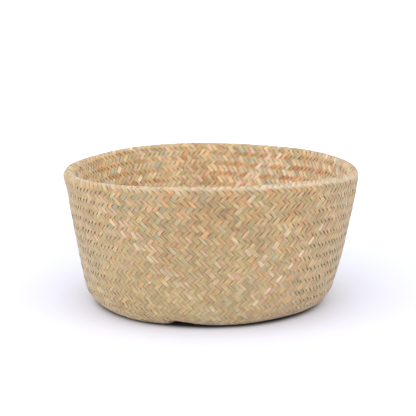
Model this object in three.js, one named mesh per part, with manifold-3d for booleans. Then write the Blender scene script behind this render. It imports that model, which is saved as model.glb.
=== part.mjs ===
// A plaited seagrass belly basket with its upper half turned inwards, so that the fold makes the rim.
// Millimetres, +Z up, origin in the middle of the underside. The front of the basket faces -Y.
// The plait is one continuous sheet. It is modelled here in its natural zones: base, heel, outer
// wall, rim fold, turned-in wall and hem. Two cord handles hang inside, from the turned-in wall.
import * as THREE from 'three';
import { mergeVertices } from 'three/addons/utils/BufferGeometryUtils.js';
import Module from 'manifold-3d';

const manifold = await Module();
manifold.setup();

// The plaited body
const rimDiameter = 360; // across the outside of the rim
const foldedHeight = 166; // underside to the crest of the rim
const baseDiameter = 244; // the flat of the underside
const heelRadius = 31; // outside bend from the base up to the wall
const plaitThickness = 2.4;
const rimWidth = 13; // across both walls at the fold
const turnedInDepth = 122; // crest of the rim down to the free edge inside
const wallBulge = 0.7; // how far the outer wall swells past a straight cone
const zoneGap = 0.3; // parting between neighbouring zones of the plait

// The hem, where the strand ends are folded back and tucked in
const hemWidth = 12;
const hemThickness = 4.4;

// The hand-made irregularity of the body
const rimLean = 5.4; // the rim's centre lies this far to +X of the base's centre
const rimWave = 3.2; // rise and dip of the crest, twice round
const rimOval = 2.8; // how much the rim's radius grows and shrinks, twice round
const rimWaveTurn = THREE.MathUtils.degToRad(105); // direction of one high point
const rimOvalTurn = THREE.MathUtils.degToRad(67.5); // direction of one wide point
const waveStartShare = 0.5; // share of the height below which the wave and the oval fade out

// The handles: a cord loop each, its ends passed through the turned-in wall and knotted behind it
const handleSpan = 120; // between the two ends of one loop
const handleCord = 9; // diameter of the twisted cord
const handleInset = 30; // free edge up to the level of the loop's ends
const handleFloorGap = 11; // bottom of the hanging loop to the basket's floor
const handleWallGap = 1.2; // loop to the face of the hem
const tieCord = 7.6; // diameter of the cord where it is drawn through the wall
const tieHoleGap = 0.4; // round the cord in its hole
const knotDiameter = 16;
const knotSpare = 0.8; // knot to the outer wall
const seatGap = 0.3; // between pieces that touch

// Facets. A round Shape is drawn with twice its curveSegments.
const aroundSteps = 60;
const heelSteps = 5;
const wallSteps = 6;
const foldSteps = 9;
const innerSteps = 3;
const cordSides = 10;
const loopSteps = 26;
const ballSteps = 8;
const tieSides = 12;

// Outlines, as shares of the piece's own width and thickness
const hemOutlineShares = [[0, 0.6], [0.15, 1], [0.85, 1], [1, 0.6]];
const knotOutlineShares = [[0.8, 0], [1, 0.3], [1, 0.7], [0.75, 0.93], [0, 1]];
const tieNoseShares = [[0, 0], [0.7, 0], [1, 0.3]];

const rimRadius = rimDiameter / 2;
const baseRadius = baseDiameter / 2;
const foldRadius = rimWidth / 2;
const halfPlait = plaitThickness / 2;
const freeEdgeHeight = foldedHeight - turnedInDepth;

// The heel and the fold are arcs, and the walls are the straight lines that touch both.
const heelCentre = new THREE.Vector2(baseRadius, heelRadius);
const foldCentre = new THREE.Vector2(rimRadius - foldRadius, foldedHeight - foldRadius);
const centreLine = foldCentre.clone().sub(heelCentre);
const wallLean = Math.atan2(centreLine.x, centreLine.y)
  - Math.asin((heelRadius - foldRadius) / centreLine.length());
const outwards = new THREE.Vector2(Math.cos(wallLean), -Math.sin(wallLean));
const upwards = new THREE.Vector2(Math.sin(wallLean), Math.cos(wallLean));

// Arc lengths along the middle of the plait, from the edge of the base to the free edge
const heelMiddle = heelRadius - halfPlait;
const foldMiddle = foldRadius - halfPlait;
const wallStart = heelCentre.clone().addScaledVector(outwards, heelMiddle);
const innerStart = foldCentre.clone().addScaledVector(outwards, -foldMiddle);
const heelEnd = heelMiddle * (Math.PI / 2 - wallLean);
const wallEnd = heelEnd + Math.sqrt(centreLine.lengthSq() - (heelRadius - foldRadius) ** 2);
const foldEnd = wallEnd + foldMiddle * Math.PI;
const freeEdge = foldEnd + (innerStart.y - freeEdgeHeight) / upwards.y;

/** The point on the plait's middle line at an arc length, moved by an offset towards its outer face. */
function plaitPoint(along, offset) {
  const normal = outwards.clone();
  const point = new THREE.Vector2();
  if (along <= heelEnd) {
    const turn = along / heelMiddle - Math.PI / 2;
    normal.set(Math.cos(turn), Math.sin(turn));
    point.copy(heelCentre).addScaledVector(normal, heelMiddle);
  } else if (along <= wallEnd) {
    const swell = wallBulge * Math.sin(Math.PI * (along - heelEnd) / (wallEnd - heelEnd));
    point.copy(wallStart).addScaledVector(upwards, along - heelEnd).addScaledVector(normal, swell);
  } else if (along <= foldEnd) {
    const turn = (along - wallEnd) / foldMiddle - wallLean;
    normal.set(Math.cos(turn), Math.sin(turn));
    point.copy(foldCentre).addScaledVector(normal, foldMiddle);
  } else {
    normal.negate();
    point.copy(innerStart).addScaledVector(upwards, foldEnd - along);
  }
  return point.addScaledVector(normal, offset);
}

/** Sets a point of the true body of revolution into the leaning, slightly wavy basket. */
function handMade(radius, height, turn) {
  const rise = THREE.MathUtils.smoothstep(height / foldedHeight, waveStartShare, 1);
  const wide = radius + rise * rimOval * Math.cos(2 * (turn - rimOvalTurn));
  return new THREE.Vector3(
    wide * Math.cos(turn) + rimLean * height / foldedHeight,
    wide * Math.sin(turn),
    height + rise * rimWave * Math.cos(2 * (turn - rimWaveTurn)),
  );
}

/** Merges a geometry's shared points and turns its faces outwards. */
function closedBody(geometry) {
  geometry.deleteAttribute('normal');
  geometry.deleteAttribute('uv');
  const merged = mergeVertices(geometry);
  const { array } = merged.getAttribute('position');
  const index = merged.index.array;
  const corners = [new THREE.Vector3(), new THREE.Vector3(), new THREE.Vector3()];
  const kept = [];
  let volume = 0;
  for (let i = 0; i < index.length; i += 3) {
    const [a, b, c] = [index[i], index[i + 1], index[i + 2]];
    if (a === b || b === c || c === a) continue;
    corners.forEach((corner, k) => corner.fromArray(array, 3 * index[i + k]));
    volume += corners[0].dot(corners[1].clone().cross(corners[2]));
    kept.push(a, b, c);
  }
  if (volume < 0) kept.reverse();
  merged.setIndex(kept);
  merged.computeVertexNormals();
  return merged;
}

function toSolid(geometry) {
  const body = closedBody(geometry);
  return new manifold.Manifold(new manifold.Mesh({
    numProp: 3,
    vertProperties: new Float32Array(body.getAttribute('position').array),
    triVerts: new Uint32Array(body.index.array),
  }));
}

function fromSolid(solid) {
  const mesh = solid.getMesh();
  const geometry = new THREE.BufferGeometry();
  geometry.setAttribute('position', new THREE.BufferAttribute(mesh.vertProperties, 3));
  geometry.setIndex(new THREE.BufferAttribute(mesh.triVerts, 1));
  geometry.computeVertexNormals();
  return geometry;
}

/** Revolves a closed section, given as radius and height, and sets it into the hand-made basket. */
function revolvedZone(section) {
  const geometry = new THREE.LatheGeometry([...section, section[0]], aroundSteps);
  geometry.rotateX(Math.PI / 2);
  const position = geometry.getAttribute('position');
  for (let i = 0; i < position.count; i += 1) {
    const [x, y, z] = [position.getX(i), position.getY(i), position.getZ(i)];
    const moved = handMade(Math.hypot(x, y), z, Math.atan2(y, x));
    position.setXYZ(i, moved.x, moved.y, moved.z);
  }
  return closedBody(geometry);
}

/** The section of a zone of even thickness between two arc lengths. */
function plaitSection(stations) {
  const outer = stations.map((along) => plaitPoint(along, halfPlait));
  const inner = stations.map((along) => plaitPoint(along, -halfPlait));
  return [...outer, ...inner.reverse()];
}

function evenStations(from, to, steps) {
  return Array.from({ length: steps + 1 }, (_, i) => from + (to - from) * i / steps);
}

function makeBase() {
  const outline = new THREE.Shape().absarc(0, 0, baseRadius - zoneGap, 0, 2 * Math.PI);
  return closedBody(new THREE.ExtrudeGeometry(outline, {
    depth: plaitThickness, steps: 1, bevelEnabled: false, curveSegments: aroundSteps / 2,
  }));
}

function makeHeel() {
  return revolvedZone(plaitSection(evenStations(0, heelEnd - zoneGap, heelSteps)));
}

function makeOuterWall() {
  return revolvedZone(plaitSection(evenStations(heelEnd, wallEnd - zoneGap, wallSteps)));
}

function makeRimFold() {
  return revolvedZone(plaitSection(evenStations(wallEnd, foldEnd - zoneGap, foldSteps)));
}

/** Where a tie passes through the turned-in wall: its loop end, and the way from there to the knot. */
const tieLevel = freeEdge - handleInset;
const hemProud = (hemThickness - plaitThickness) / 2;
const cordRadius = handleCord / 2;
const wallToPivot = hemProud + handleWallGap + cordRadius;
const pivotRing = plaitPoint(tieLevel, halfPlait + wallToPivot);
const edgeRing = plaitPoint(freeEdge, halfPlait + wallToPivot);

/** Direction round the basket in which a ring's point lies half a handle span from the XZ plane. */
function turnAtSpan(ring, side, end) {
  const swing = Math.asin(handleSpan / 2 / ring.x) * end;
  return side > 0 ? swing : Math.PI - swing;
}

function pivotPoint(side, end) {
  return handMade(pivotRing.x, pivotRing.y, turnAtSpan(pivotRing, side, end));
}

function tieDirection(side, end) {
  const turn = turnAtSpan(pivotRing, side, end);
  const radial = new THREE.Vector3(Math.cos(turn), Math.sin(turn), 0);
  return radial.multiplyScalar(outwards.x).setZ(outwards.y);
}

/** Turns a piece whose own +Y runs along a tie into its place on the basket. */
function alongTie(piece, side, end) {
  piece.position.copy(pivotPoint(side, end));
  piece.quaternion.setFromUnitVectors(new THREE.Vector3(0, 1, 0), tieDirection(side, end));
  piece.updateMatrixWorld();
  return piece;
}

const sides = [{ name: 'left', sign: -1 }, { name: 'right', sign: 1 }];
const ends = [{ name: 'front', sign: -1 }, { name: 'back', sign: 1 }];

function makeInnerWall() {
  const stations = evenStations(foldEnd, freeEdge - hemWidth - zoneGap, innerSteps);
  let wall = toSolid(revolvedZone(plaitSection(stations)));
  const holeDepth = 2 * (wallToPivot + plaitThickness);
  for (const side of sides) {
    for (const end of ends) {
      const drill = new THREE.CylinderGeometry(
        tieCord / 2 + tieHoleGap, tieCord / 2 + tieHoleGap, holeDepth, tieSides,
      );
      drill.translate(0, holeDepth / 2, 0);
      drill.applyMatrix4(alongTie(new THREE.Object3D(), side.sign, end.sign).matrixWorld);
      wall = wall.subtract(toSolid(drill));
    }
  }
  return fromSolid(wall);
}

function makeHem() {
  const start = freeEdge - hemWidth;
  const edge = (sign) => hemOutlineShares.map(
    ([along, thick]) => plaitPoint(start + along * hemWidth, sign * thick * hemThickness / 2),
  );
  return revolvedZone([...edge(1), ...edge(-1).reverse()]);
}

/** The tie: the loop's end drawn through the wall, with its knot behind. Runs along +Y from the pivot. */
function makeTie() {
  const start = cordRadius + seatGap;
  const shoulder = wallToPivot + plaitThickness + seatGap;
  const knotDepth = rimWidth - 2 * plaitThickness - seatGap - knotSpare;
  const nose = tieNoseShares.map(
    ([out, along]) => new THREE.Vector2(out * tieCord / 2, start + along * tieCord / 2),
  );
  const knot = knotOutlineShares.map(
    ([out, along]) => new THREE.Vector2(out * knotDiameter / 2, shoulder + along * knotDepth),
  );
  const outline = [...nose, new THREE.Vector2(tieCord / 2, shoulder), ...knot];
  return closedBody(new THREE.LatheGeometry(outline, tieSides));
}

/** Half an ellipse that hangs from the pivot axis, in the plane of the handle. */
class HangingLoop extends THREE.Curve {
  constructor(span, drop) {
    super();
    this.span = span;
    this.drop = drop;
  }

  getPoint(share, target = new THREE.Vector3()) {
    const turn = Math.PI * share;
    return target.set(0, this.span / 2 * Math.cos(turn), -this.drop * Math.sin(turn));
  }
}

function makeLoop(drop) {
  const section = new THREE.Shape().absarc(0, 0, cordRadius, 0, 2 * Math.PI);
  const path = new HangingLoop(handleSpan, drop);
  let loop = toSolid(new THREE.ExtrudeGeometry(section, {
    steps: loopSteps, curveSegments: cordSides / 2, extrudePath: path,
  }));
  for (const end of ends) {
    const ball = new THREE.SphereGeometry(cordRadius, cordSides, ballSteps);
    ball.translate(0, end.sign * handleSpan / 2, 0);
    loop = loop.add(toSolid(ball));
  }
  return fromSolid(loop);
}

/** A handle hangs along the leaning wall, clear of the hem, so its plane tips with the wall. */
function placeHandle(side) {
  const pivot = pivotPoint(side, 1);
  const edge = handMade(edgeRing.x, edgeRing.y, turnAtSpan(edgeRing, side, 1));
  const tip = Math.atan2(side * (pivot.x - edge.x), pivot.z - edge.z);
  const drop = (pivot.z - plaitThickness - handleFloorGap - cordRadius) / Math.cos(tip);
  return { pivot: pivot.setY(0), tip: side * tip, drop };
}

// Finishes
const paleSeagrass = { color: 0xc3a781, roughness: 0.72, metalness: 0 };
const warmSeagrass = { color: 0xcbab83, roughness: 0.68, metalness: 0 };
const cordSeagrass = { color: 0xb99a68, roughness: 0.75, metalness: 0 };

const basket = new THREE.Group();

function addPiece(name, geometry, finish) {
  const mesh = new THREE.Mesh(geometry, new THREE.MeshStandardMaterial(finish));
  mesh.name = name;
  basket.add(mesh);
  return mesh;
}

addPiece('base_mat', makeBase(), paleSeagrass);
addPiece('heel_band', makeHeel(), paleSeagrass);
addPiece('outer_wall', makeOuterWall(), paleSeagrass);
addPiece('rim_fold', makeRimFold(), warmSeagrass);
addPiece('inner_wall', makeInnerWall(), warmSeagrass);
addPiece('hem_border', makeHem(), warmSeagrass);

for (const side of sides) {
  const { pivot, tip, drop } = placeHandle(side.sign);
  const loop = addPiece(`handle_${side.name}_loop`, makeLoop(drop), cordSeagrass);
  loop.position.copy(pivot);
  loop.rotation.y = tip;
  for (const end of ends) {
    const tie = addPiece(`handle_${side.name}_tie_${end.name}`, makeTie(), cordSeagrass);
    alongTie(tie, side.sign, end.sign);
  }
}

export default basket;
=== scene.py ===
"""A plaited seagrass belly basket with its upper half turned in, built strand by strand."""
import logging
import math
from dataclasses import dataclass, field
from enum import Enum

import bpy
import numpy as np
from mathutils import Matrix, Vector


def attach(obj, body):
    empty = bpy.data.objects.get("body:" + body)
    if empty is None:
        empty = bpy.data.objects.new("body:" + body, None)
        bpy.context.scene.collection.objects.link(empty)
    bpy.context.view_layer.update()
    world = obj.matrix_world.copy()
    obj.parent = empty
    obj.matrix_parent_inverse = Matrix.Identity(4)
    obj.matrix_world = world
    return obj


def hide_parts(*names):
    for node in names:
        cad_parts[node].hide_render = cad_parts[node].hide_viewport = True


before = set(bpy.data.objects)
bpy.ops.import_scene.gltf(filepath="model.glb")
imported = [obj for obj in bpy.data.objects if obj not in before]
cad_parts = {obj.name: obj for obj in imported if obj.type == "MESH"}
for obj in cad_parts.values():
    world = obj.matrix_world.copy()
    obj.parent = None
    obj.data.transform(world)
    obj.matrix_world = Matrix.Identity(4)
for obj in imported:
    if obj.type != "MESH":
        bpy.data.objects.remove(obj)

log = logging.getLogger("basket")

BODY = "basket_body"
PLAIT_SLOT = "seagrass_plait"
INSIDE_SLOT = "seagrass_plait_inside"
CORD_SLOT = "seagrass_cord"

# Rows in which the plait repeats: two over and two under
REPEAT = 4
FULL_TURN = 2 * math.pi

# Reach of the numbers that set the fibres of one strand or yarn apart from another's
SEED_SPAN = 50.0
CORD_SEED = 31


def smooth_step(value: np.ndarray, low: float = 0.0, high: float = 1.0) -> np.ndarray:
    """Ease numbers from 0 at low to 1 at high."""
    share = np.clip((value - low) / (high - low), 0.0, 1.0)
    return share * share * (3.0 - 2.0 * share)


def unit(vectors: np.ndarray) -> np.ndarray:
    """Scale each vector of an array to length one."""
    return vectors / np.maximum(np.linalg.norm(vectors, axis=-1, keepdims=True), 1e-12)


def linear(colour: tuple[float, float, float]) -> np.ndarray:
    """Turn a screen's colour of 0 to 255 into the linear numbers that light works with."""
    share = np.asarray(colour, float) / 255.0
    return np.where(share <= 0.04045, share / 12.92, ((share + 0.055) / 1.055) ** 2.4)


def around_from(turn: np.ndarray, start: float) -> np.ndarray:
    """Measure directions round the basket from a start, between minus and plus half a turn."""
    return np.angle(np.exp(1j * (turn - start)))


# Sizes

@dataclass(frozen=True)
class BasketSizes:
    """Sizes of the plaited body in metres, the same as those of the frame's solids."""

    rim_radius: float = 0.180
    folded_height: float = 0.166
    base_radius: float = 0.122
    heel_radius: float = 0.031
    plait_thickness: float = 0.0024
    rim_width: float = 0.013
    turned_in_depth: float = 0.122
    wall_bulge: float = 0.0007
    hem_width: float = 0.012
    hem_lift: float = 0.0010
    hem_ramp: float = 1.5
    rim_lean: float = 0.0054
    rim_wave: float = 0.0032
    rim_oval: float = 0.0028
    rim_wave_turn: float = math.radians(105.0)
    rim_oval_turn: float = math.radians(67.5)
    wave_start: float = 0.5
    crest_slip: float = 0.0020
    crest_rises: tuple[tuple[float, float, float], ...] = (
        (math.radians(38.0), 0.50, 0.0026), (math.radians(148.0), 0.25, -0.0012),
    )
    crest_start: float = 0.8


@dataclass(frozen=True)
class CordSizes:
    """Sizes of the cord handles in metres, the same as those of the frame's solids."""

    span: float = 0.120
    cord: float = 0.009
    inset: float = 0.030
    floor_gap: float = 0.011
    wall_gap: float = 0.0012
    hem_thickness: float = 0.0044
    tie_cord: float = 0.0076
    seat_gap: float = 0.0003
    knot_diameter: float = 0.016
    knot_spare: float = 0.0008

    def pivot_lift(self, plait: float) -> float:
        """Distance of a loop's end from the middle of a turned-in wall of that thickness."""
        return plait / 2 + self.wall_to_pivot(plait)

    def wall_to_pivot(self, plait: float) -> float:
        """Distance of a loop's end from the face of a turned-in wall of that thickness."""
        return (self.hem_thickness - plait) / 2 + self.wall_gap + self.cord / 2


# The surface that the plait follows

@dataclass
class PlaitProfile:
    """The plait's middle line, from the centre of the base round the rim to the ends at the hem."""

    sizes: BasketSizes
    heel_centre: tuple[float, float] = field(init=False)
    fold_centre: tuple[float, float] = field(init=False)
    lean: float = field(init=False)
    heel_middle: float = field(init=False)
    fold_middle: float = field(init=False)
    hem_middle: float = field(init=False)
    heel_at: float = field(init=False)
    wall_at: float = field(init=False)
    fold_at: float = field(init=False)
    inner_at: float = field(init=False)
    edge_at: float = field(init=False)
    free_edge_at: float = field(init=False)
    tuck_at: float = field(init=False)
    end_at: float = field(init=False)

    def __post_init__(self) -> None:
        """Work out the arcs, the straight walls and the stations where they meet."""
        sizes = self.sizes
        half = sizes.plait_thickness / 2
        fold_radius = sizes.rim_width / 2
        self.heel_centre = (sizes.base_radius, sizes.heel_radius)
        self.fold_centre = (sizes.rim_radius - fold_radius, sizes.folded_height - fold_radius)
        across = self.fold_centre[0] - self.heel_centre[0]
        up = self.fold_centre[1] - self.heel_centre[1]
        reach = math.hypot(across, up)
        shrink = sizes.heel_radius - fold_radius
        self.lean = math.atan2(across, up) - math.asin(shrink / reach)
        self.heel_middle = sizes.heel_radius - half
        self.fold_middle = fold_radius - half
        self.hem_middle = half
        self.heel_at = sizes.base_radius
        self.wall_at = self.heel_at + self.heel_middle * (math.pi / 2 - self.lean)
        self.fold_at = self.wall_at + math.sqrt(reach**2 - shrink**2)
        self.inner_at = self.fold_at + self.fold_middle * math.pi
        inner_top = self.fold_centre[1] + self.fold_middle * math.sin(self.lean)
        free_edge = sizes.folded_height - sizes.turned_in_depth
        inner_length = (inner_top - free_edge) / math.cos(self.lean) - self.hem_middle - half
        self.edge_at = self.inner_at + inner_length
        self.free_edge_at = self.inner_at + (inner_top - free_edge) / math.cos(self.lean)
        self.tuck_at = self.edge_at + self.hem_middle * math.pi
        self.end_at = self.tuck_at + sizes.hem_width

    def inner_line(self, along: float, lift: float) -> tuple[float, float]:
        """Find a point beside the straight turned-in wall.

        Args:
            along: an arc length from the centre of the base, as if the wall ran straight on.
            lift: the distance from its middle towards the inside of the basket.

        Returns:
            Radius and height.
        """
        cos_lean, sin_lean = math.cos(self.lean), math.sin(self.lean)
        down = along - self.inner_at
        inwards = self.fold_middle + lift
        return (self.fold_centre[0] - inwards * cos_lean - down * sin_lean,
                self.fold_centre[1] + inwards * sin_lean - down * cos_lean)

    def at(self, along: np.ndarray) -> tuple[np.ndarray, np.ndarray, np.ndarray, np.ndarray]:
        """Find points of the middle line and the way its outer face looks there.

        Args:
            along: arc lengths from the centre of the base.

        Returns:
            Radius, height, and the outer face's direction as its radial and its upward part.
        """
        sizes = self.sizes
        cos_lean, sin_lean = math.cos(self.lean), math.sin(self.lean)
        heel_turn = (along - self.heel_at) / self.heel_middle - math.pi / 2
        wall_run = along - self.wall_at
        swell = sizes.wall_bulge * np.sin(math.pi * wall_run / (self.fold_at - self.wall_at))
        fold_turn = (along - self.fold_at) / self.fold_middle - self.lean
        inner_run = np.minimum(along, self.edge_at) - self.inner_at
        hem_at = self.edge_at - sizes.hem_width
        lift_from = self.edge_at - sizes.hem_ramp * sizes.hem_width
        lift = sizes.hem_lift * smooth_step(along, lift_from, hem_at)
        hem_turn = np.clip(along - self.edge_at, 0.0, math.pi * self.hem_middle) / self.hem_middle
        tuck_run = np.maximum(along - self.tuck_at, 0.0)
        zones = [along < end for end in (self.heel_at, self.wall_at, self.fold_at, self.inner_at)]
        inner_down = inner_run + self.hem_middle * np.sin(hem_turn) - tuck_run
        inner_out = lift - self.hem_middle + self.hem_middle * np.cos(hem_turn)
        radius = np.select(zones, [
            along,
            self.heel_centre[0] + self.heel_middle * np.cos(heel_turn),
            self.heel_centre[0] + (self.heel_middle + swell) * cos_lean + wall_run * sin_lean,
            self.fold_centre[0] + self.fold_middle * np.cos(fold_turn),
        ], self.fold_centre[0] - (self.fold_middle + inner_out) * cos_lean - inner_down * sin_lean)
        height = np.select(zones, [
            np.full_like(along, sizes.plait_thickness / 2),
            self.heel_centre[1] + self.heel_middle * np.sin(heel_turn),
            self.heel_centre[1] - (self.heel_middle + swell) * sin_lean + wall_run * cos_lean,
            self.fold_centre[1] + self.fold_middle * np.sin(fold_turn),
        ], self.fold_centre[1] + (self.fold_middle + inner_out) * sin_lean - inner_down * cos_lean)
        inner_turn = math.pi - self.lean + hem_turn
        facing = np.select(zones, [
            np.full_like(along, -math.pi / 2),
            heel_turn,
            np.full_like(along, -self.lean),
            fold_turn,
        ], inner_turn)
        return radius, height, np.cos(facing), np.sin(facing)


@dataclass(frozen=True)
class Dent:
    """A place where the wall is pressed in, out or up a little, with its reach to both sides."""

    turn: float
    height: float
    clockwise: float
    counter: float
    tall: float
    push: float = 0.0
    rise: float = 0.0


@dataclass
class PlaitSurface:
    """The plait's middle surface, with the lean, the wave and the dents of hand work."""

    sizes: BasketSizes
    dents: tuple[Dent, ...]
    row_wave: float = 0.0007
    ripples: tuple[tuple[float, float, float, float], ...] = ((1.0, 3, 0.7, 12), (0.6, 7, 2.1, -25))
    slump: float = 0.0045
    slump_below: float = 0.004
    slump_from: float = math.radians(-135.0)
    slump_to: float = math.radians(-35.0)
    slump_end: float = math.radians(80.0)
    twist: float = 0.06
    profile: PlaitProfile = field(init=False)

    def __post_init__(self) -> None:
        """Work out the profile."""
        self.profile = PlaitProfile(self.sizes)

    def warp(self, radius: np.ndarray, height: np.ndarray, turn: np.ndarray) -> np.ndarray:
        """Give even points the lean, the oval and the wave of hand work.

        Args:
            radius: even distances from the basket's axis.
            height: even heights.
            turn: directions round the basket.

        Returns:
            The points, with three columns.
        """
        sizes = self.sizes
        share = smooth_step(height / sizes.folded_height, sizes.wave_start, 1.0)
        radius = radius + share * sizes.rim_oval * np.cos(2 * (turn - sizes.rim_oval_turn))
        lean = sizes.rim_lean * height / sizes.folded_height
        crest = smooth_step(height / sizes.folded_height, sizes.crest_start, 1.0)
        lean = lean - sizes.crest_slip * crest
        height = height + share * sizes.rim_wave * np.cos(2 * (turn - sizes.rim_wave_turn))
        for at_turn, width, rise in sizes.crest_rises:
            height = height + rise * crest * np.exp(-(around_from(turn, at_turn) / width) ** 2)
        return np.stack([radius * np.cos(turn) + lean, radius * np.sin(turn), height], -1)

    def drift(self, turn: np.ndarray, along: np.ndarray) -> tuple[np.ndarray, np.ndarray]:
        """Let the columns of stitches lean, and the rows wander and slump towards one side.

        Args:
            turn: directions round the basket.
            along: even arc lengths from the centre of the base.

        Returns:
            The directions and the arc lengths with their drift, which is less at the edges.
        """
        profile = self.profile
        share = smooth_step(along, profile.heel_at / 2, profile.wall_at)
        share = share * smooth_step(profile.edge_at - along, 0.0, profile.sizes.heel_radius)
        wander = sum(size * np.sin(count * turn + start + along * climb)
                     for size, count, start, climb in self.ripples)
        around = around_from(turn, 0.0)
        slump = smooth_step(around, self.slump_from, self.slump_to) * smooth_step(self.slump_end - around)
        below = smooth_step(profile.fold_at - along, 0.0, profile.fold_at - profile.wall_at)
        leant = turn + self.twist * below * smooth_step(along, 0.0, profile.heel_at)
        sunk = slump * (self.slump + self.slump_below * below)
        return leant, along + share * (self.row_wave * wander - sunk)

    def place(self, turn: np.ndarray, along: np.ndarray,
              lift: np.ndarray) -> tuple[np.ndarray, np.ndarray]:
        """Find points over the middle surface.

        Args:
            turn: directions round the basket, in radians from +X.
            along: arc lengths from the centre of the base.
            lift: distances from the middle surface towards the plait's outer face.

        Returns:
            The points and the outer face's directions, each with three columns.
        """
        profile = self.profile
        radius, height, out_radius, out_height = profile.at(along)
        for dent in self.dents:
            around = around_from(turn, dent.turn)
            width = np.where(around < 0, dent.clockwise, dent.counter)
            share = np.exp(-(around / width) ** 2 - ((height - dent.height) / dent.tall) ** 2)
            share = share * smooth_step(profile.inner_at - along, 0.0, self.sizes.heel_radius)
            share = share * smooth_step(along, profile.heel_at / 2, profile.heel_at)
            radius = radius + dent.push * share
            height = height + dent.rise * share
        points = self.warp(radius + lift * out_radius, height + lift * out_height, turn)
        out = np.stack([out_radius * np.cos(turn), out_radius * np.sin(turn), out_height], -1)
        return points, out


# Where the strands lie

class Hand(Enum):
    """Which way a half of a strand climbs, seen from outside the basket."""

    RISING_LEFT = -1
    RISING_RIGHT = 1

    @property
    def hidden_row(self) -> float:
        """Row of the repeat in which a parting of a strand lies under other strands."""
        return 2.5 if self is Hand.RISING_RIGHT else 0.5


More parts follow.
